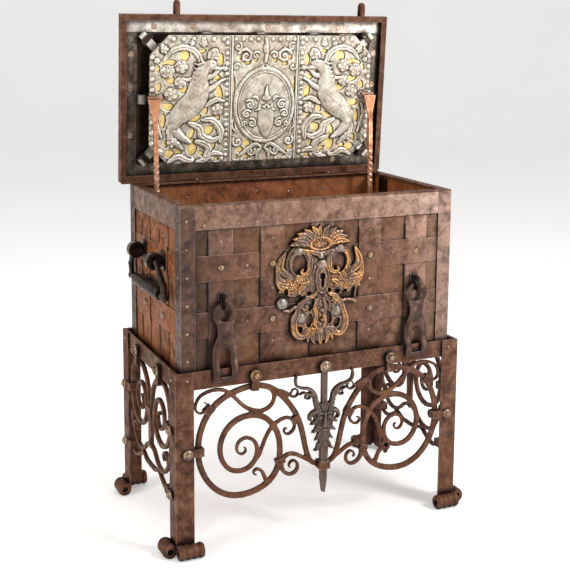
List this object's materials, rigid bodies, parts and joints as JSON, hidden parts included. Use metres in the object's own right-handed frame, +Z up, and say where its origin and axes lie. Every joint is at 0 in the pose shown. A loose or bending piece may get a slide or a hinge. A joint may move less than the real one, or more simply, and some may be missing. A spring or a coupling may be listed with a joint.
{
  "type": "strongbox on stand",
  "caption": "Riveted iron strongbox with a hinged lid, lid stays, key-driven multi-bolt lock, hasps and drop handles, on a forged scrollwork stand.",
  "frame": {"origin": "centre of the bounding box at the floor, under the feet", "axes": "+Z up, -Y towards the front with the hasps, +X to the right seen from the front; at rest the lid stands open on its stays"},
  "size_m": [0.939, 0.563, 1.479],
  "materials": {
    "wrought_iron": "dark brown oiled wrought iron, hammered",
    "dark_iron": "near-black forged iron",
    "rusty_plate": "reddish sheet iron",
    "bright_steel": "polished and chased steel",
    "grey_iron": "scraped grey-brown iron",
    "brass_sheet": "bright sheet behind the pierced covers",
    "gilt_iron": "worn gilding over iron",
    "copper_iron": "coppery brown iron"
  },
  "bodies": {
    "chest_on_stand": {"stand_frame": "wrought_iron", "leg_front_left": "wrought_iron", "leg_front_right": "wrought_iron", "leg_rear_left": "wrought_iron", "leg_rear_right": "wrought_iron", "front_scroll_left": "wrought_iron", "front_scroll_right": "wrought_iron", "side_scroll_left": "wrought_iron", "side_scroll_right": "wrought_iron", "scroll_clips": "wrought_iron", "pendant_ornament": "dark_iron", "chest_front": "rusty_plate", "chest_back": "rusty_plate", "chest_left": "rusty_plate", "chest_right": "rusty_plate", "chest_floor": "rusty_plate", "rim_band": "wrought_iron", "rim_flange": "wrought_iron", "corner_strips": "wrought_iron", "front_straps": "wrought_iron", "back_straps": "wrought_iron", "left_straps": "wrought_iron", "right_straps": "wrought_iron", "strap_studs": "dark_iron", "chest_rivets": "dark_iron", "escutcheon": "gilt_iron", "hasp_staples": "wrought_iron", "handle_eyes": "dark_iron", "stay_brackets": "dark_iron", "hinge_straps": "wrought_iron"},
    "lid": {"lid_plate": "wrought_iron", "lid_frame": "wrought_iron", "lid_liner": "grey_iron", "lid_straps": "wrought_iron", "lid_rivets": "dark_iron", "lid_loops": "wrought_iron", "lid_hinges": "wrought_iron", "lock_base": "dark_iron", "lock_guides": "dark_iron", "cover_backing": "brass_sheet", "cover_left": "bright_steel", "cover_centre": "bright_steel", "cover_right": "bright_steel", "stay_ledges": "copper_iron"},
    "hasp_left_body": {"hasp_left": "wrought_iron"},
    "hasp_right_body": {"hasp_right": "wrought_iron"},
    "handle_left_body": {"handle_left": "dark_iron"},
    "handle_right_body": {"handle_right": "dark_iron"},
    "stay_left_body": {"stay_left": "copper_iron"},
    "stay_right_body": {"stay_right": "copper_iron"},
    "keyhole_cover_body": {"keyhole_cover": "wrought_iron"},
    "thrower_body": {"thrower": "bright_steel"},
    "front_bolts_body": {"front_bolts": "bright_steel"},
    "rear_bolts_body": {"rear_bolts": "bright_steel"},
    "left_bolt_body": {"left_bolt": "bright_steel"},
    "right_bolt_body": {"right_bolt": "bright_steel"},
    "corner_bolt_front_left_body": {"corner_bolt_front_left": "bright_steel"},
    "corner_bolt_front_right_body": {"corner_bolt_front_right": "bright_steel"},
    "corner_bolt_rear_left_body": {"corner_bolt_rear_left": "bright_steel"},
    "corner_bolt_rear_right_body": {"corner_bolt_rear_right": "bright_steel"}
  },
  "joints": [
    {"name": "lid_hinge", "type": "hinge", "parent": "chest_on_stand", "child": "lid", "pos_m": [0, 0.254, 0.938], "axis": [1, 0, 0], "range_deg": [0, 86]},
    {"name": "stay_left_pivot", "type": "hinge", "parent": "chest_on_stand", "child": "stay_left_body", "pos_m": [-0.351, 0.15, 0.85], "axis": [1, 0, 0], "range_deg": [0, 91.5]},
    {"name": "stay_right_pivot", "type": "hinge", "parent": "chest_on_stand", "child": "stay_right_body", "pos_m": [0.351, 0.15, 0.85], "axis": [1, 0, 0], "range_deg": [0, 91.5]},
    {"name": "hasp_left_pivot", "type": "hinge", "parent": "chest_on_stand", "child": "hasp_left_body", "pos_m": [-0.292, -0.2409, 0.684], "axis": [-1, 0, 0], "range_deg": [0, 170]},
    {"name": "hasp_right_pivot", "type": "hinge", "parent": "chest_on_stand", "child": "hasp_right_body", "pos_m": [0.292, -0.2409, 0.684], "axis": [-1, 0, 0], "range_deg": [0, 170]},
    {"name": "handle_left_pivot", "type": "hinge", "parent": "chest_on_stand", "child": "handle_left_body", "pos_m": [-0.437, 0, 0.777], "axis": [0, 1, 0], "range_deg": [0, 95]},
    {"name": "handle_right_pivot", "type": "hinge", "parent": "chest_on_stand", "child": "handle_right_body", "pos_m": [0.437, 0, 0.777], "axis": [0, -1, 0], "range_deg": [0, 95]},
    {"name": "keyhole_cover_pivot", "type": "hinge", "parent": "lid", "child": "keyhole_cover_body", "pos_m": [0, 0.25215, 1.22256], "axis": [0, 0.9976, 0.0698], "range_deg": [0, 70]},
    {"name": "thrower_turn", "type": "hinge", "parent": "lid", "child": "thrower_body", "pos_m": [0, 0.24327, 1.19187], "axis": [0, 0.9976, 0.0698], "range_deg": [0, 26.99]},
    {"name": "front_bolts_slide", "type": "slide", "parent": "lid", "child": "front_bolts_body", "axis": [0, -0.0698, 0.9976], "range_m": [0, 0.01401]},
    {"name": "rear_bolts_slide", "type": "slide", "parent": "lid", "child": "rear_bolts_body", "axis": [0, 0.0698, -0.9976], "range_m": [0, 0.01401]},
    {"name": "left_bolt_slide", "type": "slide", "parent": "lid", "child": "left_bolt_body", "axis": [-1, 0, 0], "range_m": [0, 0.01401]},
    {"name": "right_bolt_slide", "type": "slide", "parent": "lid", "child": "right_bolt_body", "axis": [1, 0, 0], "range_m": [0, 0.01401]},
    {"name": "corner_bolt_front_left_slide", "type": "slide", "parent": "lid", "child": "corner_bolt_front_left_body", "axis": [-0.7071, -0.0493, 0.7054], "range_m": [0, 0.01981]},
    {"name": "corner_bolt_front_right_slide", "type": "slide", "parent": "lid", "child": "corner_bolt_front_right_body", "axis": [0.7071, -0.0493, 0.7054], "range_m": [0, 0.01981]},
    {"name": "corner_bolt_rear_left_slide", "type": "slide", "parent": "lid", "child": "corner_bolt_rear_left_body", "axis": [-0.7071, 0.0493, -0.7054], "range_m": [0, 0.01981]},
    {"name": "corner_bolt_rear_right_slide", "type": "slide", "parent": "lid", "child": "corner_bolt_rear_right_body", "axis": [0.7071, 0.0493, -0.7054], "range_m": [0, 0.01981]}
  ],
  "couplings": [
    {"joint": "stay_left_pivot", "follows": "lid_hinge", "ratio": 1.06},
    {"joint": "stay_right_pivot", "follows": "lid_hinge", "ratio": 1.06},
    {"joint": "front_bolts_slide", "follows": "thrower_turn", "m_per_rad": 0.029723},
    {"joint": "rear_bolts_slide", "follows": "thrower_turn", "m_per_rad": 0.029723},
    {"joint": "left_bolt_slide", "follows": "thrower_turn", "m_per_rad": 0.029723},
    {"joint": "right_bolt_slide", "follows": "thrower_turn", "m_per_rad": 0.029723},
    {"joint": "corner_bolt_front_left_slide", "follows": "thrower_turn", "m_per_rad": 0.042035},
    {"joint": "corner_bolt_front_right_slide", "follows": "thrower_turn", "m_per_rad": 0.042035},
    {"joint": "corner_bolt_rear_left_slide", "follows": "thrower_turn", "m_per_rad": 0.042035},
    {"joint": "corner_bolt_rear_right_slide", "follows": "thrower_turn", "m_per_rad": 0.042035}
  ]
}
